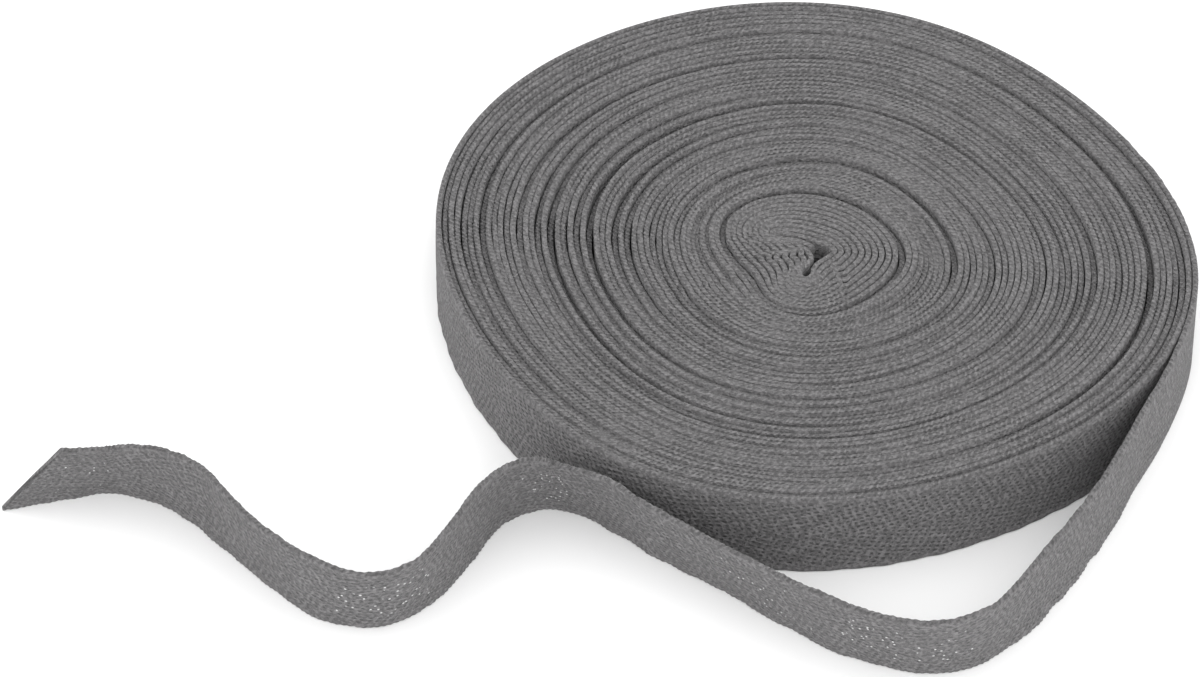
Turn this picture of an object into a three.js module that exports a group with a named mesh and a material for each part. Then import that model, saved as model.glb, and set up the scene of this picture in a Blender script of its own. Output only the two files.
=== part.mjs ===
import * as THREE from 'three';

// A flat roll of cotton twill tape with its loose end standing on edge in front of it.
// Millimetres, +Z up. The origin is the middle of the roll's underside, on the surface that it rests on.

const tape = { width: 12.7, thickness: 1.0 };

const roll = {
  radius: 50.1, // mean, out to the last wound turn
  windX: 0.4, // where the turns' own centre lies
  windY: -2.6,
  edgeRound: 0.5, // softened corners of the outermost turn
  wallBow: 0.2, // how far the wall stands out at half its height
  sides: 72,
};

// Slow waves of the rim: how far it leaves a true circle, by number of lobes
const rimWaves = [
  { lobes: 2, cosine: -0.45, sine: -1.35 },
  { lobes: 3, cosine: 0.55, sine: -0.1 },
  { lobes: 4, cosine: 0.3, sine: -0.65 },
];

// The folded core: a collapsed loop of tape, bent at its elbow, which leaves a narrow opening down its middle
const core = { reach: 0.28, mouthDrop: 0.5, mouthDepth: 6.5, twistPitch: 1.8, twistDepth: 0.45 };

// Edge of that opening, measured from the turns' centre; facing is the way that the turns outside a point lie
const mouthEdge = [
  { facing: -90, x: -1.0, y: -4.6 },
  { facing: -72, x: -0.45, y: -3.9 },
  { facing: -55, x: -0.4, y: -2.7 },
  { facing: -40, x: 0.25, y: -1.6 },
  { facing: -25, x: 1.45, y: -0.7 },
  { facing: -5, x: 2.35, y: 0.25 },
  { facing: 20, x: 2.2, y: 1.0 },
  { facing: 45, x: 1.45, y: 1.8 },
  { facing: 65, x: 0, y: 2.5 },
  { facing: 85, x: -1.2, y: 3.1 },
  { facing: 105, x: -2.7, y: 3.45 },
  { facing: 130, x: -3.9, y: 3.8 },
  { facing: 155, x: -4.2, y: 3.4 },
  { facing: 174, x: -3.4, y: 3.0 },
  { facing: 188, x: -2.2, y: 2.7 },
  { facing: 198, x: -1.0, y: 2.05 },
  { facing: 206, x: 0.05, y: 1.1 },
  { facing: 214, x: 0.25, y: -0.3 },
  { facing: 224, x: -0.4, y: -1.7 },
  { facing: 236, x: -1.3, y: -2.95 },
  { facing: 254, x: -1.55, y: -4.15 },
];

// Main gaps between groups of turns. reach runs from 0 at the core to 1 at the rim, deepest is the bearing
// where the gap is fully open, elsewhere is the share of its depth that is left on the far side, and stands is
// how far the group of turns outside it rises over the tape's own width.
const gaps = [
  { reach: 0.262, depth: 1.5, deepest: -20, elsewhere: 0.6, stands: 0.15 },
  { reach: 0.365, depth: 0.9, deepest: 60, elsewhere: 0.2, stands: -0.05 },
  { reach: 0.435, depth: 0.8, deepest: 260, elsewhere: 0.15, stands: 0.1 },
  { reach: 0.495, depth: 1.2, deepest: -40, elsewhere: 0.3, stands: -0.1 },
  { reach: 0.545, depth: 1.7, deepest: 150, elsewhere: 0.7, stands: 0.1 },
  { reach: 0.62, depth: 1.0, deepest: 10, elsewhere: 0.3, stands: 0 },
  { reach: 0.69, depth: 1.3, deepest: 140, elsewhere: 0.4, stands: 0.1 },
  { reach: 0.75, depth: 1.1, deepest: 190, elsewhere: 0.4, stands: -0.1 },
  { reach: 0.81, depth: 0.8, deepest: 90, elsewhere: 0.2, stands: 0 },
  { reach: 0.88, depth: 0.8, deepest: 0, elsewhere: 0.25, stands: 0.05 },
  { reach: 0.965, depth: 1.1, deepest: -20, elsewhere: 0.5, stands: 0 },
];
const gapWidth = 0.9;

// The loose end leaves the last turn here: it lies against the wall between two bearings, in degrees
const leaving = { start: 26, end: -22, step: 8, clearance: 0.3 };

// From there on, its foot on the surface out to the cut; lean is how far its upper edge stands outside it
const looseEnd = [
  { x: 45.8, y: -27.1, lean: 0 },
  { x: 42.5, y: -34, lean: 0 },
  { x: 38.6, y: -42.5, lean: 0 },
  { x: 34.3, y: -50.6, lean: 0 },
  { x: 30, y: -57.3, lean: 0.1 },
  { x: 26, y: -62.9, lean: 0.6 },
  { x: 22.4, y: -66.3, lean: 1.7 },
  { x: 18.5, y: -68.8, lean: 2.6 },
  { x: 14, y: -69.7, lean: 2.9 },
  { x: 9.5, y: -68.9, lean: 2.8 },
  { x: 2.7, y: -66.2, lean: 2.6 },
  { x: -4.8, y: -60.7, lean: 3.1 },
  { x: -12.3, y: -54.6, lean: 3.2 },
  { x: -20.1, y: -48.9, lean: 2.4 },
  { x: -25.5, y: -44.2, lean: 2.2 },
  { x: -30, y: -40.8, lean: 2.3 },
  { x: -34, y: -39.2, lean: 2.8 },
  { x: -38, y: -40, lean: 2.8 },
  { x: -41.8, y: -43, lean: 1.6 },
  { x: -45, y: -49.2, lean: 0.7 },
  { x: -49, y: -55.7, lean: 1 },
  { x: -54, y: -60.4, lean: 2.1 },
  { x: -59, y: -61.4, lean: 2.5 },
  { x: -64, y: -59.7, lean: 2 },
  { x: -69.2, y: -55.1, lean: 1.8 },
  { x: -74.6, y: -49.4, lean: 1.2 },
  { x: -80.1, y: -43.2, lean: 0.6 },
  { x: -85.7, y: -38.3, lean: 1.9 },
  { x: -91.2, y: -36.3, lean: 3.4 },
  { x: -98.5, y: -37.3, lean: 3.8 },
  { x: -106.5, y: -39.6, lean: 3.4 },
];
const looseSteps = 130;
const cutSlant = 8.4; // how much shorter the upper edge is than the foot at the cut end

const cotton = { color: 0x6f6d6e, roughness: 0.95, metalness: 0 };

// Distance of the rim from the roll's middle at a bearing in radians
function rimRadius(angle) {
  let radius = roll.radius;
  for (const wave of rimWaves) {
    radius += wave.cosine * Math.cos(wave.lobes * angle);
    radius += wave.sine * Math.sin(wave.lobes * angle);
  }
  return radius;
}

const mouthPoints = mouthEdge.map((point) => new THREE.Vector3(point.x, point.y, 0));
const mouthCurve = new THREE.CatmullRomCurve3(mouthPoints, true);

// The point of the opening's edge whose outside faces a bearing
function mouthPoint(angle) {
  const count = mouthEdge.length;
  const first = mouthEdge[0].facing;
  const bearing = first + THREE.MathUtils.euclideanModulo(THREE.MathUtils.radToDeg(angle) - first, 360);
  for (let i = 0; i < count; i++) {
    const start = mouthEdge[i].facing;
    const end = i + 1 < count ? mouthEdge[i + 1].facing : first + 360;
    if (bearing <= end) return mouthCurve.getPoint((i + (bearing - start) / (end - start)) / count);
  }
  return mouthCurve.getPoint(0);
}

// A point of the wound face: reach 0 is the edge of the core's opening and reach 1 is the rim
function facePoint(reach, angle, height) {
  const folded = Math.max(0, 1 - reach / core.reach);
  const mouth = mouthPoint(angle);
  const distance = reach * rimRadius(angle);
  const x = roll.windX * (1 - reach) + mouth.x * folded + distance * Math.cos(angle);
  const y = roll.windY * (1 - reach) + mouth.y * folded + distance * Math.sin(angle);
  return new THREE.Vector3(x, y, height);
}

function ring(reach, heightAt) {
  const points = [];
  for (let i = 0; i < roll.sides; i++) {
    const angle = (i / roll.sides) * 2 * Math.PI;
    points.push(facePoint(reach, angle, heightAt(angle)));
  }
  return points;
}

function closedMesh(name, positions, faces) {
  const geometry = new THREE.BufferGeometry();
  const numbers = positions.flatMap((point) => [point.x, point.y, point.z]);
  geometry.setAttribute('position', new THREE.Float32BufferAttribute(numbers, 3));
  geometry.setIndex(faces.flat());
  geometry.computeVertexNormals();
  const mesh = new THREE.Mesh(geometry, new THREE.MeshStandardMaterial(cotton));
  mesh.name = name;
  return mesh;
}

// Quads between loops that have the same number of points, each loop closed on itself
function bridge(loops) {
  const count = loops[0].length;
  const faces = [];
  for (let row = 0; row + 1 < loops.length; row++) {
    for (let i = 0; i < count; i++) {
      const next = (i + 1) % count;
      const near = row * count;
      const far = near + count;
      faces.push([near + i, far + i, far + next]);
      faces.push([near + i, far + next, near + next]);
    }
  }
  return faces;
}

// A flat level cap over a loop whose points start at an index
function cap(loop, start, facesUp) {
  const outline = loop.map((point) => new THREE.Vector2(point.x, point.y));
  return THREE.ShapeUtils.triangulateShape(outline, []).map((triangle) => {
    const [a, b, c] = triangle.map((i) => outline[i]);
    const turnsLeft = (b.x - a.x) * (c.y - a.y) - (b.y - a.y) * (c.x - a.x) > 0;
    const ordered = turnsLeft === facesUp ? triangle : [triangle[0], triangle[2], triangle[1]];
    return ordered.map((i) => start + i);
  });
}

// The wound face from the core outwards: twists of the fold, then groups of turns parted by gaps
function faceRings() {
  const rings = [ring(0, () => tape.width - core.mouthDrop)];
  const twistReach = core.twistPitch / roll.radius;
  const firstGap = gaps[0].reach - gapWidth / roll.radius;
  for (let reach = twistReach / 2; reach + twistReach / 2 < firstGap; reach += twistReach) {
    rings.push(ring(reach, () => tape.width));
    rings.push(ring(reach + twistReach / 2, () => tape.width - core.twistDepth));
  }
  let stands = 0;
  for (const gap of gaps) {
    const inside = tape.width + stands;
    const outside = tape.width + gap.stands;
    const halfWidth = gapWidth / 2 / roll.radius;
    const floorAt = (angle) => {
      const open = 0.5 + 0.5 * Math.cos(angle - THREE.MathUtils.degToRad(gap.deepest));
      return Math.min(inside, outside) - gap.depth * (gap.elsewhere + (1 - gap.elsewhere) * open);
    };
    rings.push(ring(gap.reach - halfWidth, () => inside));
    rings.push(ring(gap.reach, floorAt));
    rings.push(ring(gap.reach + halfWidth, () => outside));
    stands = gap.stands;
  }
  return rings;
}

function makeRoll() {
  const floorHeight = tape.width - core.mouthDepth;
  const round = roll.edgeRound / roll.radius;
  const bow = roll.wallBow / roll.radius;
  const loops = [
    ring(0, () => floorHeight),
    ...faceRings(),
    ring(1 - round, () => tape.width),
    ring(1, () => tape.width - roll.edgeRound),
    ring(1 + bow, () => tape.width / 2),
    ring(1, () => roll.edgeRound),
    ring(1 - round, () => 0),
  ];
  const last = loops.length - 1;
  const faces = [
    ...cap(loops[0], 0, true),
    ...bridge(loops),
    ...cap(loops[last], last * roll.sides, false),
  ];
  return closedMesh('roll', loops.flat(), faces);
}

// The foot of the loose end's first stretch, just off the wall
function leavingRows() {
  const offWall = roll.wallBow + leaving.clearance + tape.thickness / 2;
  const rows = [];
  for (let bearing = leaving.start; bearing >= leaving.end; bearing -= leaving.step) {
    const angle = THREE.MathUtils.degToRad(bearing);
    const distance = rimRadius(angle) + offWall;
    rows.push({ x: distance * Math.cos(angle), y: distance * Math.sin(angle), lean: 0 });
  }
  return rows;
}

// The loose end as slices across the tape, upright or leaning outwards from its foot
function makeLooseEnd() {
  const rows = [...leavingRows(), ...looseEnd];
  const feet = rows.map((row) => new THREE.Vector3(row.x, row.y, 0));
  const path = new THREE.CatmullRomCurve3(feet, false, 'centripetal');
  const leans = new THREE.CatmullRomCurve3(rows.map((row, i) => new THREE.Vector3(i, row.lean, 0)));
  path.arcLengthDivisions = 2000;
  const length = path.getLength();
  const upward = new THREE.Vector3(0, 0, 1);
  const cornerAt = (share, side, upper) => {
    const along = upper ? share * (1 - cutSlant / length) : share;
    const t = path.getUtoTmapping(along);
    const foot = path.getPoint(t);
    const outward = new THREE.Vector3().crossVectors(upward, path.getTangent(t)).normalize();
    const lean = leans.getPoint(t).y;
    const rise = Math.sqrt(tape.width ** 2 - lean ** 2);
    foot.addScaledVector(outward, side * tape.thickness / 2 + (upper ? lean : 0));
    if (upper) foot.z = rise;
    return foot;
  };
  const slices = [];
  for (let i = 0; i <= looseSteps; i++) {
    const share = i / looseSteps;
    slices.push([
      cornerAt(share, -1, false),
      cornerAt(share, -1, true),
      cornerAt(share, 1, true),
      cornerAt(share, 1, false),
    ]);
  }
  const last = looseSteps * 4;
  const faces = [
    [0, 1, 2],
    [0, 2, 3],
    ...bridge(slices),
    [last, last + 2, last + 1],
    [last, last + 3, last + 2],
  ];
  return closedMesh('loose_end', slices.flat(), faces);
}

const tapeRoll = new THREE.Group();
tapeRoll.add(makeRoll(), makeLooseEnd());

export default tapeRoll;
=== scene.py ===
import math

import bmesh
import bpy
import numpy as np
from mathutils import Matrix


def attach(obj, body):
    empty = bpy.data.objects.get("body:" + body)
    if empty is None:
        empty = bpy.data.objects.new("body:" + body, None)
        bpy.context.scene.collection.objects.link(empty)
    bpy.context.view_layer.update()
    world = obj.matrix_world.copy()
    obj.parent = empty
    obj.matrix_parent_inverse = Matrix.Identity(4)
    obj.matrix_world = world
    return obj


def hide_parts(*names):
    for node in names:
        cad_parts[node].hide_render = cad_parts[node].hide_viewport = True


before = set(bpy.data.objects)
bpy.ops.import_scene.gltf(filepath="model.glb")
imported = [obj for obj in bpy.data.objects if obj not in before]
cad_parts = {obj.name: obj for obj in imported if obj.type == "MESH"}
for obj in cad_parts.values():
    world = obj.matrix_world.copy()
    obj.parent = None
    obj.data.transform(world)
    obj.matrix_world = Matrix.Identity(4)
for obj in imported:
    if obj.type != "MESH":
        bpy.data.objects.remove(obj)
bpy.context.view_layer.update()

mm = 0.001

# Camera, floor and soft light
stageValues = {
    "cameraPlace": (-0.028165, -0.61352, 0.53774),
    "cameraTilt": 48.5,
    "lens": 180,
    "sensorWidth": 36,
    "floorSize": 6.0,
    "floorColour": (0.9, 0.9, 0.9, 1),
    "floorRoughness": 0.9,
    "worldLight": 1.42,
    "keyPower": 9.5,
    "keySize": 1.3,
    "keyPlace": (0.05, -1.15, 0.92),
    "keyTurn": (51, 0, 2.5),
}


def makeStage(values):
    camera = bpy.data.objects.new("camera", bpy.data.cameras.new("camera"))
    bpy.context.scene.collection.objects.link(camera)
    camera.location = values["cameraPlace"]
    camera.rotation_euler = (math.radians(values["cameraTilt"]), 0, 0)
    camera.data.lens = values["lens"]
    camera.data.sensor_width = values["sensorWidth"]
    camera.data.sensor_fit = "HORIZONTAL"
    bpy.context.scene.camera = camera

    bm = bmesh.new()
    bmesh.ops.create_grid(bm, x_segments=1, y_segments=1, size=values["floorSize"] / 2)
    mesh = bpy.data.meshes.new("floor")
    bm.to_mesh(mesh)
    bm.free()
    floor = bpy.data.objects.new("floor", mesh)
    bpy.context.scene.collection.objects.link(floor)
    paper = bpy.data.materials.new("pale paper")
    paper.use_nodes = True
    finish = paper.node_tree.nodes["Principled BSDF"].inputs
    finish["Base Color"].default_value = values["floorColour"]
    finish["Roughness"].default_value = values["floorRoughness"]
    floor.data.materials.append(paper)

    world = bpy.data.worlds.new("soft daylight")
    world.use_nodes = True
    world.node_tree.nodes["Background"].inputs["Color"].default_value = (1, 1, 1, 1)
    world.node_tree.nodes["Background"].inputs["Strength"].default_value = values["worldLight"]
    bpy.context.scene.world = world

    lamp = bpy.data.lights.new("key light", "AREA")
    lamp.energy = values["keyPower"]
    lamp.size = values["keySize"]
    key = bpy.data.objects.new("key light", lamp)
    bpy.context.scene.collection.objects.link(key)
    key.location = values["keyPlace"]
    key.rotation_euler = [math.radians(a) for a in values["keyTurn"]]
    bpy.context.scene.view_settings.view_transform = "Standard"
    print("stage ready")


makeStage(stageValues)


# Shader maths
class Value:
    def __init__(self, shade, socket):
        self.shade = shade
        self.socket = socket

    def math(self, operation, *others):
        operands = {i + 1: other for i, other in enumerate(others)}
        return self.shade.node("ShaderNodeMath", {"operation": operation}, {0: self, **operands})

    def __add__(self, other):
        return self.math("ADD", other)

    def __mul__(self, other):
        return self.math("MULTIPLY", other)

    def __sub__(self, other):
        return self.math("SUBTRACT", other)

    def __rsub__(self, other):
        return self.shade.node("ShaderNodeMath", {"operation": "SUBTRACT"}, {0: other, 1: self})

    def __truediv__(self, other):
        return self.math("DIVIDE", other)

    __radd__ = __add__
    __rmul__ = __mul__

    def wave(self):  # 0 to 1 and back for each whole number
        return (self * (2 * math.pi)).math("COSINE") * -0.5 + 0.5

    def between(self, low, high):  # smooth step from 0 at low to 1 at high
        return self.shade.node(
            "ShaderNodeMapRange",
            {"interpolation_type": "SMOOTHSTEP"},
            {"Value": self, "From Min": low, "From Max": high},
        )


class Shade:
    def __init__(self, name):
        self.material = bpy.data.materials.new(name)
        self.material.use_nodes = True
        self.tree = self.material.node_tree
        self.tree.nodes.clear()

    def node(self, kind, settings=None, sockets=None, output=0):
        made = self.tree.nodes.new(kind)
        for name, setting in (settings or {}).items():
            setattr(made, name, setting)
        for name, given in (sockets or {}).items():
            if isinstance(given, Value):
                self.tree.links.new(given.socket, made.inputs[name])
            else:
                made.inputs[name].default_value = given
        return Value(self, made.outputs[output]) if made.outputs else made

    def noise(self, place, scale, detail):
        return self.node("ShaderNodeTexNoise", None, {"Vector": place, "Scale": scale, "Detail": detail})

    def flatPlace(self, along, side, scale):  # a place on the tape laid flat
        return self.node("ShaderNodeCombineXYZ", None, {0: along * scale[0], 1: side * scale[1]})

    def blend(self, factor, first, second):  # from the first colour to the second
        return self.node(
            "ShaderNodeMix",
            {"data_type": "RGBA", "blend_type": "MIX"},
            {"Factor": factor, 6: first, 7: second},
            2,
        )


# Cotton twill: slanting rows of small pits that mirror at the tape's middle, plain selvedges, beaded edges.
# Lengths are in millimetres. A pair is where a soft step starts and ends, or the scale along and across.
twillValues = {
    "shade": (0.186, 0.181, 0.184, 1),
    # deepShade is the colour that full painted shade darkens the cloth to
    "deepShade": (0.03, 0.0295, 0.03, 1),
    "ribPitch": 1.02,
    "ribLean": 0.5,
    "ribWander": 1.3,
    "rowPitch": 0.7,
    "rowLean": 0.24,
    "rowWander": 0.4,
    "pits": (0.42, 0.74),
    "pitFuzz": 0.9,
    "selvedge": 0.9,
    "selvedgeBlend": 0.15,
    "plainPitch": 0.45,
    "plainWander": 0.4,
    "edgeBlend": (-0.1, 0.05),
    "beadPitch": 0.8,
    "beadLean": 0.7,
    "beadWander": 0.7,
    "lip": (0.22, 0.42),
    "notches": (0.35, 0.8),
    "slack": (0.42, 0.6),
    "specks": (0.36, 0.64),
    "strands": (0.3, 0.7),
    "streaks": (0.42, 0.62),
    "strandScale": (0.95, 2.3),
    "streakScale": (0.22, 2.2),
    "wanderScale": 900,
    "fuzzScale": 1900,
    "patchScale": 230,
    "slackScale": 110,
    "mottle": 0.09,
    "lightLeast": 0.46,
    "speckLight": 0.56,
    # painted light: the tape's edges, which make the roll's top, are painted lighter
    "edgePaintedLight": 0.1,
    "woundPits": 0.76,
    "loosePits": 0.5,
    # Painted light on the wound roll and painted shade on the loose end, as factors on the colour
    "woundPaintedLight": 1.08,
    "loosePaintedLight": 0.99,
    "loosensOver": (0, 70),
    "lastTurnFrom": -470,
    "lastTurnBlend": 5,
    "lastNotches": 0.3,
    "ribDepth": 0.22,
    "roughness": 0.95,
    "specular": 0.15,
    "sheen": 0.12,
    "sheenRoughness": 0.6,
}

# How far each part of the weave stands up or lies deep, as shares of ribDepth
reliefValues = {
    "ribs": 0.15,
    "pits": 1.1,
    "strands": 0.3,
    "streaks": 0.25,
    "plain": 0.3,
    "beads": 0.8,
    "edgeStrands": 0.6,
    "notches": 0.9,
    "specks": 0.8,
}

# Painted shade: how much each recess of the weave darkens the cloth's colour
paintedShadeValues = {
    "pits": 0.85,
    "betweenRibs": 0.03,
    "streaks": 0.16,
    "betweenPlain": 0.1,
    "betweenStrands": 0.22,
    "betweenBeads": 0.3,
    "notches": 0.4,
}

# Pinholes, painted as pale spots: painted light of the floor seen through the weave
pinholeValues = {
    "shade": (0.75, 0.75, 0.75, 1),
    "paintedLight": 0.85,
    "pitch": 1.1,
    "size": (0.07, 0.16),
    "patchScale": 0.55,
    "patches": (0.74, 0.79),
    "zoneGain": 0.25,
    "zoneFade": (0.4, 1.0),
    "reach": 4.6,
    "reachFade": (0.6, 1.0),
}

# Where light shows through pinholes in the loose end, by distance along it in millimetres
pinholeZones = [
    {"middle": 109, "span": 12, "share": 1.0},
    {"middle": 129, "span": 13, "share": 0.7},
    {"middle": 165, "span": 8, "share": 0.85},
    {"middle": 196, "span": 9, "share": 1.0},
    {"middle": 246, "span": 10, "share": 0.6},
]


def pinholes(shade, along, side, middle):  # 1 in a pinhole and 0 beside it
    values = pinholeValues
    pitch = values["pitch"]
    spot = shade.node("ShaderNodeCombineXYZ", None, {0: along / pitch, 1: side / pitch})
    nearest = {"feature": "F1", "voronoi_dimensions": "2D"}
    cell = shade.node("ShaderNodeTexVoronoi", nearest, {"Vector": spot, "Scale": 1.0})
    chance = shade.noise(spot, values["patchScale"], 1.0)
    sparse = 0
    for zone in pinholeZones:
        reach = ((along - zone["middle"]) / zone["span"]).math("ABSOLUTE")
        sparse = (1 - reach.between(*values["zoneFade"])) * zone["share"] + sparse
    centre = 1 - (middle / values["reach"]).between(*values["reachFade"])
    patches = (chance + sparse * values["zoneGain"]).between(*values["patches"])
    return (1 - cell.between(*values["size"])) * patches * centre


def makeTwill(name, values, width, edge):
    relief = reliefValues
    shadow = paintedShadeValues
    shade = Shade(name)
    weave = shade.node("ShaderNodeUVMap", {"uv_map": "weave"})
    split = shade.node("ShaderNodeSeparateXYZ", None, {0: weave})
    along = split / mm
    around = Value(shade, split.socket.node.outputs[1]) / mm
    place = shade.node("ShaderNodeTexCoord", None, None, "Object")

    lap = width + edge
    inner = around.math("GREATER_THAN", lap)
    side = around - inner * lap  # 0 to width on a face, then across the edge
    isEdge = side.between(*(width + blend for blend in values["edgeBlend"]))
    middle = (side - width / 2).math("ABSOLUTE")
    ground = width / 2 - values["selvedge"]
    isSelvedge = middle.between(ground - values["selvedgeBlend"], ground + values["selvedgeBlend"])
    onFace = 1 - isEdge
    twill = onFace * (1 - isSelvedge)
    border = onFace * isSelvedge

    # The loose end has shallower pits. Painted light and shade: the wound roll's colour is painted lighter
    # and the loose end's a little darker. From the last turns on, the edge has fewer notches.
    loosened = along.between(*values["loosensOver"])
    pitted = values["woundPits"] + loosened * (values["loosePits"] - values["woundPits"])
    paintedLight = values["woundPaintedLight"] + loosened * (values["loosePaintedLight"] - values["woundPaintedLight"])
    lastTurn = [values["lastTurnFrom"] + step * values["lastTurnBlend"] for step in (-1, 1)]
    notched = 1 + along.between(*lastTurn) * (values["lastNotches"] - 1)

    wander = shade.noise(place, values["wanderScale"], 2.0) - 0.5
    fuzz = shade.noise(place, values["fuzzScale"], 3.0)
    patch = shade.noise(place, values["patchScale"], 2.0)
    slack = shade.noise(place, values["slackScale"], 1.0)
    drift = middle + along * values["rowLean"]
    strands = shade.noise(shade.flatPlace(along, side, values["strandScale"]), 1.0, 2.0)
    streaks = shade.noise(shade.flatPlace(along, drift, values["streakScale"]), 1.0, 2.0)
    strands = strands.between(*values["strands"])
    streaks = streaks.between(*values["streaks"])
    specks = fuzz.between(*values["specks"])

    rib = (along - middle * values["ribLean"] + wander * values["ribWander"]) / values["ribPitch"]
    row = (drift + wander * values["rowWander"]) / values["rowPitch"]
    ribs = rib.wave()
    pits = ((1 - ribs) * row.wave() + (fuzz - 0.5) * values["pitFuzz"]).between(*values["pits"]) * pitted
    stagger = (side / values["plainPitch"]).math("ROUND") * 0.5
    plain = (along / values["beadPitch"] + stagger + wander * values["plainWander"]).wave()
    bead = along + (side - width) * values["beadLean"] + wander * values["beadWander"]
    beads = (bead / values["beadPitch"]).wave()
    lip = (side - width - edge / 2).math("ABSOLUTE").between(*(edge * share for share in values["lip"]))
    notches = isEdge * lip * (1 - beads).between(*values["notches"])
    notches = notches * slack.between(*values["slack"]) * notched

    raised = ribs * relief["ribs"] - pits * relief["pits"]
    raised = twill * (raised + strands * relief["strands"] - streaks * relief["streaks"])
    raised = raised + border * (plain * relief["plain"] + strands * relief["strands"])
    raised = raised + isEdge * (beads * relief["beads"] + strands * relief["edgeStrands"])
    raised = raised - notches * relief["notches"]
    raised = raised + specks * relief["specks"]

    # Painted shade: colour darkened in pits, low streaks and notches, and between ribs, threads and beads
    paintedShade = pits * shadow["pits"] + (1 - ribs) * shadow["betweenRibs"]
    paintedShade = twill * (paintedShade + streaks * shadow["streaks"])
    paintedShade = paintedShade + border * ((1 - plain) * shadow["betweenPlain"])
    edgePaintedShade = (1 - strands) * shadow["betweenStrands"] + (1 - beads) * shadow["betweenBeads"]
    paintedShade = paintedShade + isEdge * edgePaintedShade
    paintedShade = paintedShade + notches * shadow["notches"]
    mottle = 1 - values["mottle"] + patch * (2 * values["mottle"])
    # light holds the painted shade together with the cloth's own random mottle and fibre specks
    light = (1 - paintedShade) * mottle * (values["lightLeast"] + specks * values["speckLight"])
    # Painted light: the edges' colour is painted lighter, and the wound roll's lighter than the loose end's
    light = light * (1 + isEdge * values["edgePaintedLight"]) * paintedLight

    tint = shade.blend(light, values["deepShade"], values["shade"])
    spots = pinholes(shade, along, side, middle) * twill
    # Painted light: a pale spot is painted where light would show through each pinhole
    tint = shade.blend(spots * pinholeValues["paintedLight"], tint, pinholeValues["shade"])
    bump = shade.node(
        "ShaderNodeBump",
        None,
        {"Strength": 1.0, "Distance": values["ribDepth"] * mm, "Height": raised},
    )
    cloth = shade.node(
        "ShaderNodeBsdfPrincipled",
        None,
        {
            "Base Color": tint,
            "Roughness": values["roughness"],
            "Normal": bump,
            "Specular IOR Level": values["specular"],
            "Sheen Weight": values["sheen"],
            "Sheen Roughness": values["sheenRoughness"],
        },
    )
    shade.node("ShaderNodeOutputMaterial", None, {"Surface": cloth})
    print(name, "ready")
    return shade.material


# The tape, wound clockwise outwards from a folded core, all in millimetres here.
# A row within edgeShare of the width from the foot or the top counts as the tape's edge.
tapeValues = {"width": 12.7, "thickness": 0.75, "edge": 0.8, "edgeShare": 0.1}

rollValues = {
    "radius": 50.1,
    "windX": 0.4,  # the core's centre, from the rim's
    "windY": -2.6,
    "turns": 57.5,
    "coreTurns": 12,
    "coreBlend": 2,
    "coreReach": 0.25,  # where the core ends, as a share of the way to the rim
    "coreStart": 0.001,
    "foldReach": 0.35,  # where the folded core's shape has died away
    "endBearing": 26,  # degrees, where the whole turns end
    "leavesAt": -22,  # degrees, where the tape leaves the wall
    "lastFace": 1.0,
    "snug": 0.02,
    "steps": 480,  # for each turn
    "grooveWidth": 0.2,  # the open groove round the core
    "groovePast": 0.1,
    "grooveSpan": 0.62,
    "grooveWidest": -20,
    "grooveSwing": 0.4,
    "bulge": 0.15,  # how far the wall swells at half its height
    "bulgeTurns": 4,
    "hemWave": 0.24,  # the outermost turn's foot
    "hemLength": 0.85,
    "hemBeat": 2.3,
    "hemStartRate": 40,
    "innerSpacing": 0.22,
    "outerSpacing": 0.8,
}

# Uneven winding: short stretches where turns stand apart, sink below their neighbours, or sway.
# The right side is wound tighter, so it has less of the gaps and the sway.
unevenValues = {
    "gapCount": 300,
    "gapWidth": (0.01, 0.07),
    "gapSpan": (0.04, 0.22),
    "gapSharpness": 1.5,
    "rightGaps": 0.45,
    "tightBearing": -10,  # degrees, the tightest side
    "dipCount": 270,
    "dipDepth": (0.12, 0.65),
    "dipSpan": (0.05, 0.28),
    "dipLeast": 0.35,
    "dipBearing": -15,  # degrees, most dips lie there and opposite
    "swayLength": 5.0,
    "sway": 0.045,
    "rightSway": 0.3,
    "rimSway": 0.2,
    "rippleLength": 1.4,
    "ripple": 0.05,
    "sunkBesideGap": 0.45,
    "evenTurns": 1.2,  # outermost turns without dips
    "evenBlend": 0.5,
    "quickRise": {"perTurn": 2.3, "share": 0.6},
    "slowRise": {"perTurn": 1.1, "share": 0.4},
    "riseDrop": 0.4,
    "footPerTurn": 1.9,
}

# Slow waves of the rim, by number of lobes
rimWaves = [
    {"lobes": 2, "cosine": -0.45, "sine": -1.35},
    {"lobes": 3, "cosine": 0.55, "sine": -0.1},
    {"lobes": 4, "cosine": 0.3, "sine": -0.65},
]

# Edge of the core's opening: the way its outside faces, then the point, from the turns' centre
mouthEdge = [
    {"facing": -90, "x": -1.0, "y": -4.6},
    {"facing": -72, "x": -0.45, "y": -3.9},
    {"facing": -55, "x": -0.4, "y": -2.7},
    {"facing": -40, "x": 0.1, "y": -1.7},
    {"facing": -25, "x": 1.3, "y": -0.65},
    {"facing": -5, "x": 2.35, "y": 0.25},
    {"facing": 20, "x": 2.2, "y": 1.0},
    {"facing": 45, "x": 1.45, "y": 1.8},
    {"facing": 65, "x": 0, "y": 2.5},
    {"facing": 85, "x": -1.2, "y": 3.1},
    {"facing": 105, "x": -2.7, "y": 3.7},
    {"facing": 130, "x": -4.3, "y": 4.05},
    {"facing": 155, "x": -4.7, "y": 3.5},
    {"facing": 174, "x": -3.6, "y": 2.9},
    {"facing": 188, "x": -2.2, "y": 2.7},
    {"facing": 198, "x": -1.0, "y": 2.05},
    {"facing": 206, "x": 0.05, "y": 1.1},
    {"facing": 214, "x": 0.6, "y": -0.45},
    {"facing": 224, "x": -0.15, "y": -1.75},
    {"facing": 236, "x": -1.3, "y": -2.95},
    {"facing": 254, "x": -1.55, "y": -4.15},
]

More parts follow.
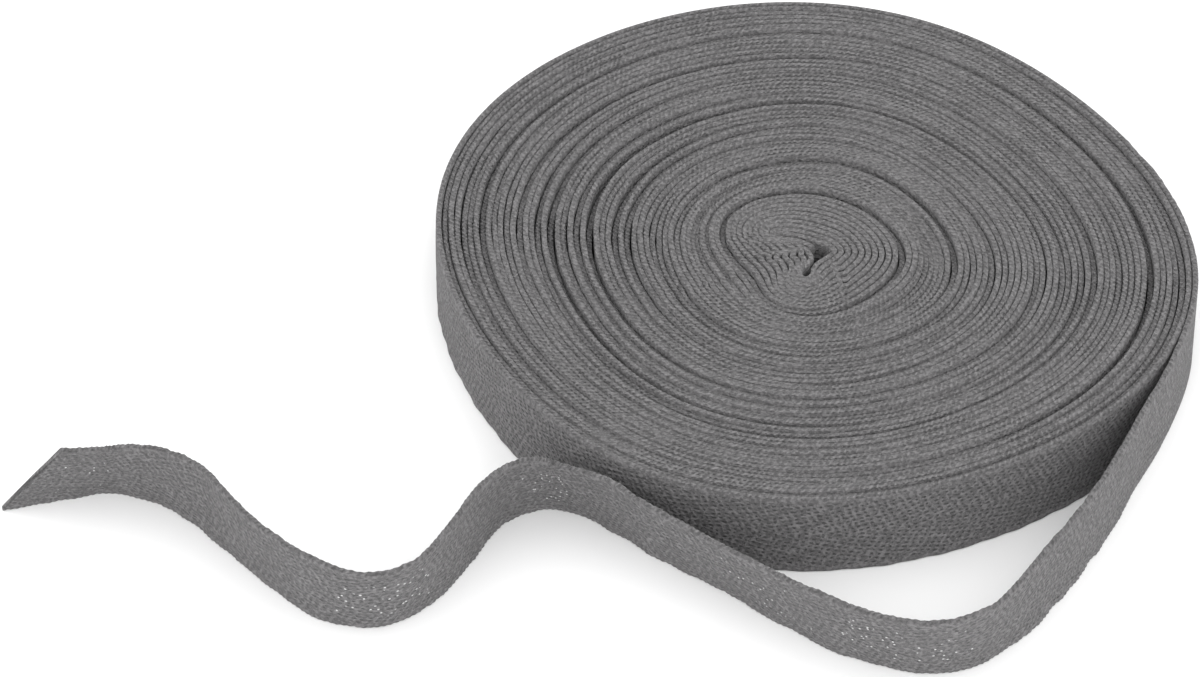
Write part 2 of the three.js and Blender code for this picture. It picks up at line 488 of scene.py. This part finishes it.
# Wider gaps between turns: reach from core to rim, how wide, and the bearing where it is widest
wideGaps = [
    {"reach": 0.365, "width": 0.12, "widest": 60, "span": 0.45},
    {"reach": 0.435, "width": 0.12, "widest": 260, "span": 0.5},
    {"reach": 0.495, "width": 0.12, "widest": -40, "span": 0.5},
    {"reach": 0.5, "width": 0.1, "widest": 175, "span": 0.35},
    {"reach": 0.545, "width": 0.16, "widest": 150, "span": 0.6},
    {"reach": 0.59, "width": 0.12, "widest": 170, "span": 0.4},
    {"reach": 0.62, "width": 0.14, "widest": 10, "span": 0.5},
    {"reach": 0.66, "width": 0.12, "widest": 165, "span": 0.35},
    {"reach": 0.69, "width": 0.14, "widest": 140, "span": 0.5},
    {"reach": 0.72, "width": 0.1, "widest": 20, "span": 0.4},
    {"reach": 0.75, "width": 0.14, "widest": 190, "span": 0.5},
    {"reach": 0.81, "width": 0.1, "widest": 90, "span": 0.5},
    {"reach": 0.88, "width": 0.1, "widest": 0, "span": 0.5},
    {"reach": 0.95, "width": 0.1, "widest": 170, "span": 0.6},
    {"reach": 0.965, "width": 0.1, "widest": -20, "span": 0.75},
]

# How far the turns' upper edges stand above and below each other, by turn
unevenness = [
    {"turn": 0, "rise": 0.12},
    {"turn": 12, "rise": 0.14},
    {"turn": 16, "rise": 0.2},
    {"turn": 26, "rise": 0.3},
    {"turn": 38, "rise": 0.34},
    {"turn": 50, "rise": 0.2},
    {"turn": 57, "rise": 0.1},
]

# Turns that lie below their neighbours for a whole round or most of it
sunkTurns = [
    {"turn": 10.4, "depth": 0.9, "span": 0.55},
    {"turn": 18.6, "depth": 0.25, "span": 0.45},
    {"turn": 24.4, "depth": 0.4, "span": 0.4},
    {"turn": 27.8, "depth": 0.5, "span": 0.35},
    {"turn": 31.0, "depth": 0.45, "span": 0.4},
    {"turn": 38.8, "depth": 0.5, "span": 0.4},
    {"turn": 41.8, "depth": 0.35, "span": 0.35},
]

# Tight kinks that the fold left in the turns around the core, in rows on both sides, by turn
kinkRows = [
    {"turn": 0.9, "bearing": 206, "height": 0.1, "length": 0.5},
    {"turn": 1.9, "bearing": 205, "height": 0.45, "length": 0.5},
    {"turn": 2.9, "bearing": 204, "height": 0.6, "length": 0.5},
    {"turn": 3.9, "bearing": 203, "height": 0.5, "length": 0.45},
    {"turn": 4.9, "bearing": 201, "height": 0.6, "length": 0.45},
    {"turn": 5.9, "bearing": 200, "height": 0.4, "length": 0.5},
    {"turn": 6.9, "bearing": 199, "height": 0.25, "length": 0.6},
    {"turn": 2.3, "bearing": -33, "height": 0.25, "length": 0.45},
    {"turn": 3.3, "bearing": -38, "height": 0.35, "length": 0.45},
    {"turn": 4.3, "bearing": -43, "height": 0.3, "length": 0.5},
    {"turn": 5.3, "bearing": -48, "height": 0.35, "length": 0.5},
    {"turn": 6.3, "bearing": -53, "height": 0.25, "length": 0.5},
    {"turn": 7.3, "bearing": -57, "height": 0.3, "length": 0.5},
    {"turn": 4.6, "bearing": 172, "height": 0.2, "length": 0.5},
    {"turn": 5.6, "bearing": 176, "height": 0.25, "length": 0.5},
    {"turn": 6.6, "bearing": 178, "height": 0.2, "length": 0.5},
]

kinkShoulder = {"share": 0.4, "apart": 1.6}  # the low bumps before and after each kink

random = np.random.default_rng(57)


def slowNoise(at):  # random heights, from -1 to 1, at whole numbers, joined smoothly
    knots = random.uniform(-1, 1, int(at.max() - at.min()) + 3)
    shifted = at - at.min()
    i = shifted.astype(int)
    t = shifted - i
    return knots[i] + (knots[i + 1] - knots[i]) * t * t * (3 - 2 * t)


def rimRadius(angle):
    radius = np.full_like(angle, rollValues["radius"])
    for wave in rimWaves:
        radius += wave["cosine"] * np.cos(wave["lobes"] * angle)
        radius += wave["sine"] * np.sin(wave["lobes"] * angle)
    return radius


def mouthPoint(angle):  # closed smooth curve through the points of mouthEdge
    facing = np.array([row["facing"] for row in mouthEdge] + [mouthEdge[0]["facing"] + 360.0])
    points = np.array([(row["x"], row["y"]) for row in mouthEdge], float)
    count = len(points)
    at = (np.degrees(angle) - facing[0]) % 360 + facing[0]
    i = np.clip(np.searchsorted(facing, at, side="right") - 1, 0, count - 1)
    t = ((at - facing[i]) / (facing[i + 1] - facing[i]))[:, None]
    a, b, c, d = (points[(i + step) % count] for step in (-1, 0, 1, 2))
    return 0.5 * (2 * b + (c - a) * t + (2 * a - 5 * b + 4 * c - d) * t**2 + (3 * b - a - 3 * c + d) * t**3)


def facePoint(reach, angle):  # reach 0 is the opening's edge and reach 1 the rim
    values = rollValues
    folded = np.maximum(0, 1 - reach / values["foldReach"])
    distance = (reach * rimRadius(angle))[:, None]
    heading = np.stack([np.cos(angle), np.sin(angle)], 1)
    wind = np.array([values["windX"], values["windY"]])
    return wind * (1 - reach)[:, None] + mouthPoint(angle) * folded[:, None] + distance * heading


def scattered(turn, count, sizes, spans, weight):  # smooth bumps at random places along the tape
    total = np.zeros_like(turn)
    for centre in random.uniform(turn[0], turn[-1], count):
        size = random.uniform(*sizes)
        span = random.uniform(*spans)
        tail = 2.5 * span  # past it, next to nothing is left of the bump
        near = slice(*np.searchsorted(turn, (centre - tail, centre + tail)))
        total[near] += size * np.exp(-(((turn[near] - centre) / span) ** 2))
    return total * weight


def spareRoom(turn, angle, outside, leftSide):  # room below each turn, and how far wide gaps let it sink
    values = rollValues
    uneven = unevenValues
    weight = (uneven["rightGaps"] + (1 - uneven["rightGaps"]) * leftSide) * outside
    gaps = (uneven["gapCount"], uneven["gapWidth"], uneven["gapSpan"])
    spare = values["snug"] + scattered(turn, *gaps, weight)
    groove = np.exp(-(((turn - values["coreTurns"] - values["groovePast"]) / values["grooveSpan"]) ** 6))
    swing = values["grooveSwing"] * np.cos(angle - math.radians(values["grooveWidest"]))
    spare += values["grooveWidth"] * groove * (1 - values["grooveSwing"] + swing)
    rimTurns = values["turns"] - values["coreTurns"]
    sink = np.zeros_like(turn)
    for gap in wideGaps:
        fromHub = (gap["reach"] - values["coreReach"]) / (1 - values["coreReach"])
        near = values["coreTurns"] + rimTurns * fromHub
        offset = (values["endBearing"] - gap["widest"]) / 360 + values["turns"]
        centre = offset + round(near - offset)
        around = np.exp(-(((turn - centre) / gap["span"] * uneven["gapSharpness"]) ** 2))
        spare += gap["width"] * around
        sink += uneven["sunkBesideGap"] * around
    return spare / values["radius"], sink


def stackTurns(turn, spare, thick):  # outside the core, each turn lies on the one before it
    values = rollValues
    steps = values["steps"]
    reach = values["coreStart"] + turn * (values["coreReach"] / values["coreTurns"])
    for start in range(values["coreTurns"] * steps, len(turn), steps):
        end = min(start + steps, len(turn))
        reach[start:end] = reach[start - steps : end - steps] + thick + spare[start:end]
    return reach


def fitToRim(turn, reach, last, outside, thick):  # the last turn ends one thickness outside its own start
    values = rollValues
    steps = values["steps"]
    pitch = thick + values["snug"] / values["radius"]
    finalReach = 1 + (values["lastFace"] - tapeValues["thickness"] / 2) / values["radius"]
    wanted = finalReach - pitch * (last - np.arange(last - steps, last + 1)) / steps
    hub = values["coreReach"]
    scale = (wanted - hub) / (reach[last - steps : last + 1] - hub)
    scale += (scale[-1] - scale[0]) * (0.5 - np.arange(steps + 1) / steps)
    print("turns fitted to the rim by", round(float(scale.min()), 4), "to", round(float(scale.max()), 4))
    index = (np.arange(len(turn)) - (last - steps)) % steps
    fitted = hub + (reach - hub) * (1 + (scale[index] - 1) * outside)
    return np.where(turn > values["coreTurns"], fitted, reach)


def addKinks(points, turn, angle, travelled, outward):
    bearing = np.degrees(angle)
    for kink in kinkRows:
        close = np.abs(turn - kink["turn"]) < 0.5
        off = np.where(close, np.abs((bearing - kink["bearing"] + 180) % 360 - 180), np.inf)
        along = (travelled - travelled[np.argmin(off)]) / kink["length"]
        before = kinkShoulder["share"] * np.exp(-((along + kinkShoulder["apart"]) ** 2))
        after = kinkShoulder["share"] * np.exp(-((along - kinkShoulder["apart"]) ** 2))
        shape = before - np.exp(-(along**2)) + after
        points += outward * (kink["height"] * shape)[:, None]


def edgeHeights(turn, angle, outside, sink):  # of the turns' upper edges and feet, off a flat roll
    values = rollValues
    uneven = unevenValues
    rise = np.interp(turn, [row["turn"] for row in unevenness], [row["rise"] for row in unevenness])
    quick = slowNoise(turn * uneven["quickRise"]["perTurn"]) * uneven["quickRise"]["share"]
    slow = slowNoise(turn * uneven["slowRise"]["perTurn"]) * uneven["slowRise"]["share"]
    lift = rise * (quick + slow - uneven["riseDrop"])
    belowRim = np.clip((values["turns"] - uneven["evenTurns"] - turn) / uneven["evenBlend"], 0, 1)
    turned = np.abs(np.cos(angle - math.radians(uneven["dipBearing"])))
    dipWeight = (uneven["dipLeast"] + (1 - uneven["dipLeast"]) * turned) * (belowRim * outside)
    lift -= sink * belowRim
    lift -= scattered(turn, uneven["dipCount"], uneven["dipDepth"], uneven["dipSpan"], dipWeight)
    for sunk in sunkTurns:
        lift -= sunk["depth"] * np.exp(-(((turn - sunk["turn"]) / sunk["span"]) ** 4))
    foot = rise * 0.5 * (slowNoise(turn * uneven["footPerTurn"]) + 1)
    return lift, foot


def windTurns():
    values = rollValues
    uneven = unevenValues
    steps = values["steps"]
    past = (values["endBearing"] - values["leavesAt"]) / 360
    turn = np.arange(0, int((values["turns"] + past) * steps) + 1) / steps
    angle = np.radians(values["endBearing"]) + 2 * np.pi * (values["turns"] - turn)
    last = int(values["turns"] * steps)
    outside = np.clip((turn - values["coreTurns"]) / values["coreBlend"], 0, 1)
    leftSide = 0.5 - 0.5 * np.cos(angle - math.radians(uneven["tightBearing"]))

    thick = tapeValues["thickness"] / values["radius"]
    spare, sink = spareRoom(turn, angle, outside, leftSide)
    reach = fitToRim(turn, stackTurns(turn, spare, thick), last, outside, thick)
    points = facePoint(reach, angle)
    tangent = np.gradient(points, axis=0)
    length = np.linalg.norm(tangent, axis=1)
    travelled = np.cumsum(length)
    outward = np.stack([-tangent[:, 1], tangent[:, 0]], 1) / length[:, None]
    addKinks(points, turn, angle, travelled, outward)
    sway = slowNoise(travelled / uneven["swayLength"]) * uneven["sway"]
    sway += slowNoise(travelled / uneven["rippleLength"]) * uneven["ripple"]
    sway *= uneven["rightSway"] + (1 - uneven["rightSway"]) * leftSide
    sway *= np.clip(values["turns"] - turn, uneven["rimSway"], 1)
    points += outward * sway[:, None]
    lift, foot = edgeHeights(turn, angle, outside, sink)
    return {"turn": turn, "points": points, "last": last, "lift": lift, "foot": foot}


# Rows of points up each face of the tape, and the crown over its upper edge: across from 1 to -1, and drop
sectionShapes = {
    "wound": {
        "rows": (0.12, 12.6),
        "crown": [(0.92, 0.03), (0.5, 0.0), (0.0, 0.02), (-0.5, 0.0), (-0.92, 0.03)],
    },
    "open": {
        "rows": (0.12, 0.6, 3.4, 6.35, 9.3, 12.0, 12.42),
        "crown": [(0.78, 0.12), (0.42, 0.03), (0.0, 0.0), (-0.42, 0.03), (-0.78, 0.12)],
    },
}
footRow = {"across": 0.7, "height": 0.02}


def tapeSection(shape):  # across the thickness from -1 to 1, height, and place round the section
    width = tapeValues["width"]
    edge = tapeValues["edge"]
    low = footRow["height"]
    section = [(1, height, height) for height in shape["rows"]]
    section += [(side, width - drop, width + edge * (1 - side) / 2) for side, drop in shape["crown"]]
    section += [(-1, height, width + edge + width - height) for height in reversed(shape["rows"])]
    for side in (-footRow["across"], footRow["across"]):
        section.append((side, low, 2 * width + edge * (3 + side) / 2))
    return np.array(section)


def makeRibbon(name, section, positions, along, material):
    count = len(section)
    steps = len(positions) - 1
    bm = bmesh.new()
    bm.loops.layers.uv.new("weave")
    bmesh.ops.create_grid(bm, x_segments=steps, y_segments=count, size=1.0, calc_uvs=True)
    bm.verts.ensure_lookup_table()
    seam = {bm.verts[count * (steps + 1) + i]: bm.verts[i] for i in range(steps + 1)}
    bmesh.ops.weld_verts(bm, targetmap=seam)
    ends = [edge for edge in bm.edges if edge.is_boundary]
    bmesh.ops.holes_fill(bm, edges=ends, sides=count)
    mesh = bpy.data.meshes.new(name)
    bm.to_mesh(mesh)
    bm.free()

    # The flat grid's own places say which section and which corner each point is
    flat = np.empty(len(mesh.vertices) * 3, np.float32)
    mesh.vertices.foreach_get("co", flat)
    flat = flat.reshape(-1, 3)
    step = np.rint((flat[:, 0] + 1) / 2 * steps).astype(int)
    corner = np.rint((flat[:, 1] + 1) / 2 * count).astype(int) % count
    mesh.vertices.foreach_set("co", (positions[step, corner] * mm).astype(np.float32).ravel())

    vertexOf = np.empty(len(mesh.loops), np.int32)
    mesh.loops.foreach_get("vertex_index", vertexOf)
    weave = np.empty(len(mesh.loops) * 2, np.float32)
    layer = mesh.uv_layers["weave"].data
    layer.foreach_get("uv", weave)
    lastRow = (corner[vertexOf] == 0) & (weave[1::2] > 0.5)
    lap = 2 * (tapeValues["width"] + tapeValues["edge"])
    weave[0::2] = along[step[vertexOf], corner[vertexOf]] * mm
    weave[1::2] = (section[corner[vertexOf], 2] + lastRow * lap) * mm
    layer.foreach_set("uv", weave)
    mesh.update()

    bm = bmesh.new()
    bm.from_mesh(mesh)
    if bm.calc_volume(signed=True) < 0:
        bmesh.ops.reverse_faces(bm, faces=bm.faces[:])
    for face in bm.faces:
        face.smooth = len(face.verts) == 4
    bm.to_mesh(mesh)
    bm.free()
    mesh.materials.append(material)
    made = bpy.data.objects.new(name, mesh)
    bpy.context.scene.collection.objects.link(made)
    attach(made, "root")
    print(name, len(mesh.vertices), "points")
    return made


def turnSections(wound, firstTurn, lastTurn, spacing, section):
    values = rollValues
    points = wound["points"]
    travelled = np.concatenate([[0], np.cumsum(np.linalg.norm(np.diff(points, axis=0), axis=1))])
    first = int(firstTurn * values["steps"])
    final = int(lastTurn * values["steps"])
    count = int((travelled[final] - travelled[first]) / spacing) + 1
    place = np.linspace(travelled[first], travelled[final], count)

    def at(line):
        return np.interp(place, travelled, line)

    middle = np.stack([at(points[:, 0]), at(points[:, 1])], 1)
    tangent = np.gradient(points, axis=0)
    tangent /= np.linalg.norm(tangent, axis=1, keepdims=True)
    outward = np.stack([-at(tangent[:, 1]), at(tangent[:, 0])], 1)
    turn = at(wound["turn"])
    share = section[:, 1] / tapeValues["width"]
    bulgeTurns = values["bulgeTurns"]
    nearRim = np.clip(turn - values["turns"] + bulgeTurns, 0, bulgeTurns) / bulgeTurns
    bulge = (4 * share * (1 - share))[None, :] * values["bulge"] * nearRim[:, None]
    off = section[None, :, 0] * (tapeValues["thickness"] / 2) + bulge
    outermost = np.clip((turn - wound["turn"][wound["last"]] + 1) * values["hemStartRate"], 0, 1)
    ripple = place / values["hemLength"]
    wave = 0.5 + 0.5 * np.sin(ripple) * np.cos(ripple / values["hemBeat"])
    off += (values["hemWave"] * wave * outermost)[:, None] * (share < tapeValues["edgeShare"])
    positions = np.empty((count, len(section), 3))
    positions[:, :, :2] = middle[:, None, :] + outward[:, None, :] * off[:, :, None]
    foot = at(wound["foot"])[:, None]
    positions[:, :, 2] = section[None, :, 1] + at(wound["lift"])[:, None] * share + foot * (1 - share)
    along = place - travelled[wound["last"]]
    return positions, np.repeat(along[:, None], len(section), 1)


# The loose end: foot of the tape on the floor, and how far its upper edge stands outside it
looseRows = [
    {"x": 45.8, "y": -27.1, "lean": 0},
    {"x": 42.5, "y": -34, "lean": 0.1},
    {"x": 38.6, "y": -42.5, "lean": 0.2},
    {"x": 34.3, "y": -50.6, "lean": 0.3},
    {"x": 30, "y": -57.3, "lean": 0.4},
    {"x": 26, "y": -62.9, "lean": 0.8},
    {"x": 22.4, "y": -66.3, "lean": 1.9},
    {"x": 18.5, "y": -68.8, "lean": 2.9},
    {"x": 14, "y": -69.7, "lean": 3.4},
    {"x": 9.5, "y": -68.9, "lean": 3.4},
    {"x": 2.7, "y": -66.2, "lean": 3.1},
    {"x": -4.8, "y": -60.7, "lean": 3.4},
    {"x": -12.3, "y": -54.6, "lean": 3.6},
    {"x": -20.1, "y": -48.9, "lean": 3.2},
    {"x": -25.5, "y": -44.2, "lean": 3.4},
    {"x": -30, "y": -40.8, "lean": 3.9},
    {"x": -34, "y": -39.2, "lean": 4.0},
    {"x": -38, "y": -40, "lean": 3.3},
    {"x": -41.8, "y": -43, "lean": 2.0},
    {"x": -45, "y": -49.2, "lean": 0.7},
    {"x": -49, "y": -55.7, "lean": 1.4},
    {"x": -54, "y": -60.4, "lean": 2.8},
    {"x": -59, "y": -61.4, "lean": 2.8},
    {"x": -64, "y": -59.7, "lean": 1.9},
    {"x": -69.2, "y": -55.1, "lean": 2.1},
    {"x": -74.6, "y": -49.4, "lean": 1.5},
    {"x": -80.1, "y": -43.2, "lean": 0.9},
    {"x": -85.7, "y": -38.3, "lean": 3.0},
    {"x": -91.2, "y": -36.3, "lean": 4.1},
    {"x": -98.5, "y": -37.3, "lean": 3.9},
    {"x": -106.5, "y": -39.6, "lean": 3.0},
]

looseValues = {
    "cutSlant": 8.4,
    "stepLength": 0.2,
    "leavingAngle": 7.5,  # degrees between the route's points on the wall
    "pointsPerRow": 60,
    "stiffFor": 40,  # how far the tape stays smooth after the roll
    "settlesOver": 60,  # and how far until it stands on the floor
    "joinLength": 20,
    "footOut": 0.12,
    "flutter": 0.18,
    "flutterLength": 9.0,
    "nicks": 0.24,
    "upperNicks": {"short": 0.9, "shortShare": 0.5, "long": 2.6, "longShare": 0.7},
    "lowerNicks": {"short": 1.1, "shortShare": 0.4, "long": 3.3, "longShare": 0.7},
    "stitches": 0.06,
    "stitchPitch": 0.85,
}


def nickLine(travelled, nicks):  # how far an edge of the loose end strays, along its length
    short = slowNoise(travelled / nicks["short"]) * nicks["shortShare"]
    return (short + slowNoise(travelled / nicks["long"]) * nicks["longShare"]) * looseValues["nicks"]


def smoothRoute(rows, perRow):  # centripetal curve through x, y and lean
    rows = np.vstack([2 * rows[0] - rows[1], rows, 2 * rows[-1] - rows[-2]])
    parts = []
    for a, b, c, d in zip(rows[:-3], rows[1:-2], rows[2:-1], rows[3:]):
        gaps = [math.sqrt(math.dist(p[:2], q[:2])) for p, q in ((a, b), (b, c), (c, d))]
        ta, tb = 0.0, gaps[0]
        tc = tb + gaps[1]
        td = tc + gaps[2]
        t = np.linspace(tb, tc, perRow, endpoint=False)[:, None]
        ab = ((tb - t) * a + (t - ta) * b) / (tb - ta)
        bc = ((tc - t) * b + (t - tb) * c) / (tc - tb)
        cd = ((td - t) * c + (t - tc) * d) / (td - tc)
        abc = ((tc - t) * ab + (t - ta) * bc) / (tc - ta)
        bcd = ((td - t) * bc + (t - tb) * cd) / (td - tb)
        parts.append(((tc - t) * abc + (t - tb) * bcd) / (tc - tb))
    return np.vstack(parts + [rows[-2][None, :]])


def looseSections(wound, section, joint):
    values = looseValues
    width = tapeValues["width"]
    leaveStep = round(rollValues["steps"] * values["leavingAngle"] / 360)
    leaving = wound["points"][wound["last"] :: leaveStep]
    rows = np.vstack(
        [
            np.column_stack([leaving, np.zeros(len(leaving))]),
            np.array([(row["x"], row["y"], row["lean"]) for row in looseRows], float),
        ]
    )
    route = smoothRoute(rows, values["pointsPerRow"])
    pieces = np.linalg.norm(np.diff(route[:, :2], axis=0), axis=1)
    travelled = np.concatenate([[0], np.cumsum(pieces)])
    length = float(travelled[-1])
    down = np.linspace(0, 1, int(length / values["stepLength"]) + 1)[:, None]
    place = length * down * (1 - values["cutSlant"] / length * section[None, :, 1] / width)
    tangent = np.gradient(route[:, :2], axis=0)
    tangent /= np.linalg.norm(tangent, axis=1, keepdims=True)

    def at(line):
        return np.interp(place, travelled, line)

    settle = np.clip(travelled / values["stiffFor"] - 1, 0, 1)
    landed = np.clip(place / values["settlesOver"], 0, 1)
    flutter = slowNoise(travelled / values["flutterLength"]) * values["flutter"]
    lean = at(route[:, 2] + flutter * settle)
    sine = lean / width
    cosine = np.sqrt(1 - sine**2)
    half = tapeValues["thickness"] / 2
    across = section[None, :, 0] * half
    height = section[None, :, 1]
    share = height / width
    endLift = wound["lift"][wound["last"]] * share + wound["foot"][wound["last"]] * (1 - share)
    lift = endLift * (1 - landed) + at(np.abs(flutter) * settle) * 0.5
    off = across * cosine + height * sine + values["footOut"] * landed

    upperNicks = at(nickLine(travelled, values["upperNicks"]))
    lowerNicks = at(nickLine(travelled, values["lowerNicks"]) * settle)
    stitches = np.cos(place * 2 * math.pi / values["stitchPitch"]) * values["stitches"] * at(settle)
    off += (lowerNicks + stitches) * (share < tapeValues["edgeShare"])
    upper = (upperNicks + stitches) * (share > 1 - tapeValues["edgeShare"])
    positions = np.empty(place.shape + (3,))
    positions[:, :, 0] = at(route[:, 0]) - at(tangent[:, 1]) * off
    positions[:, :, 1] = at(route[:, 1]) + at(tangent[:, 0]) * off
    positions[:, :, 2] = height * cosine - across * sine + half * np.abs(sine) + lift + upper
    miss = joint - positions[0]  # brings its first section onto the roll's last one
    positions += miss * np.clip(1 - place / values["joinLength"], 0, 1)[:, :, None]
    return positions, place, length


wound = windTurns()
plainSection = tapeSection(sectionShapes["wound"])
fineSection = tapeSection(sectionShapes["open"])
cloth = makeTwill("cotton twill", twillValues, tapeValues["width"], tapeValues["edge"])

# The roll's ribbon in four stretches, by turn
parts = [
    {
        "name": "inner_turns",
        "from": 0,
        "to": 13,
        "spacing": rollValues["innerSpacing"],
        "section": plainSection,
    },
    {
        "name": "middle_turns",
        "from": 13,
        "to": 41,
        "spacing": rollValues["outerSpacing"],
        "section": plainSection,
    },
    {
        "name": "outer_turns",
        "from": 41,
        "to": 56,
        "spacing": rollValues["outerSpacing"],
        "section": plainSection,
    },
    {
        "name": "last_turns",
        "from": 56,
        "to": rollValues["turns"],
        "spacing": rollValues["outerSpacing"],
        "section": fineSection,
    },
]
for part in parts:
    positions, along = turnSections(wound, part["from"], part["to"], part["spacing"], part["section"])
    piece = makeRibbon(part["name"], part["section"], positions, along, cloth)
    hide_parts("roll")

joint = positions[-1]
positions, along, looseLength = looseSections(wound, fineSection, joint)
loose = makeRibbon("loose_tape", fineSection, positions, along, cloth)
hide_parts("loose_end")
width = tapeValues["width"]
looseLength * mm
(looseLength - looseValues["cutSlant"] / 2) * width * mm * mm
print("loose end", round(looseLength, 1), "mm long")
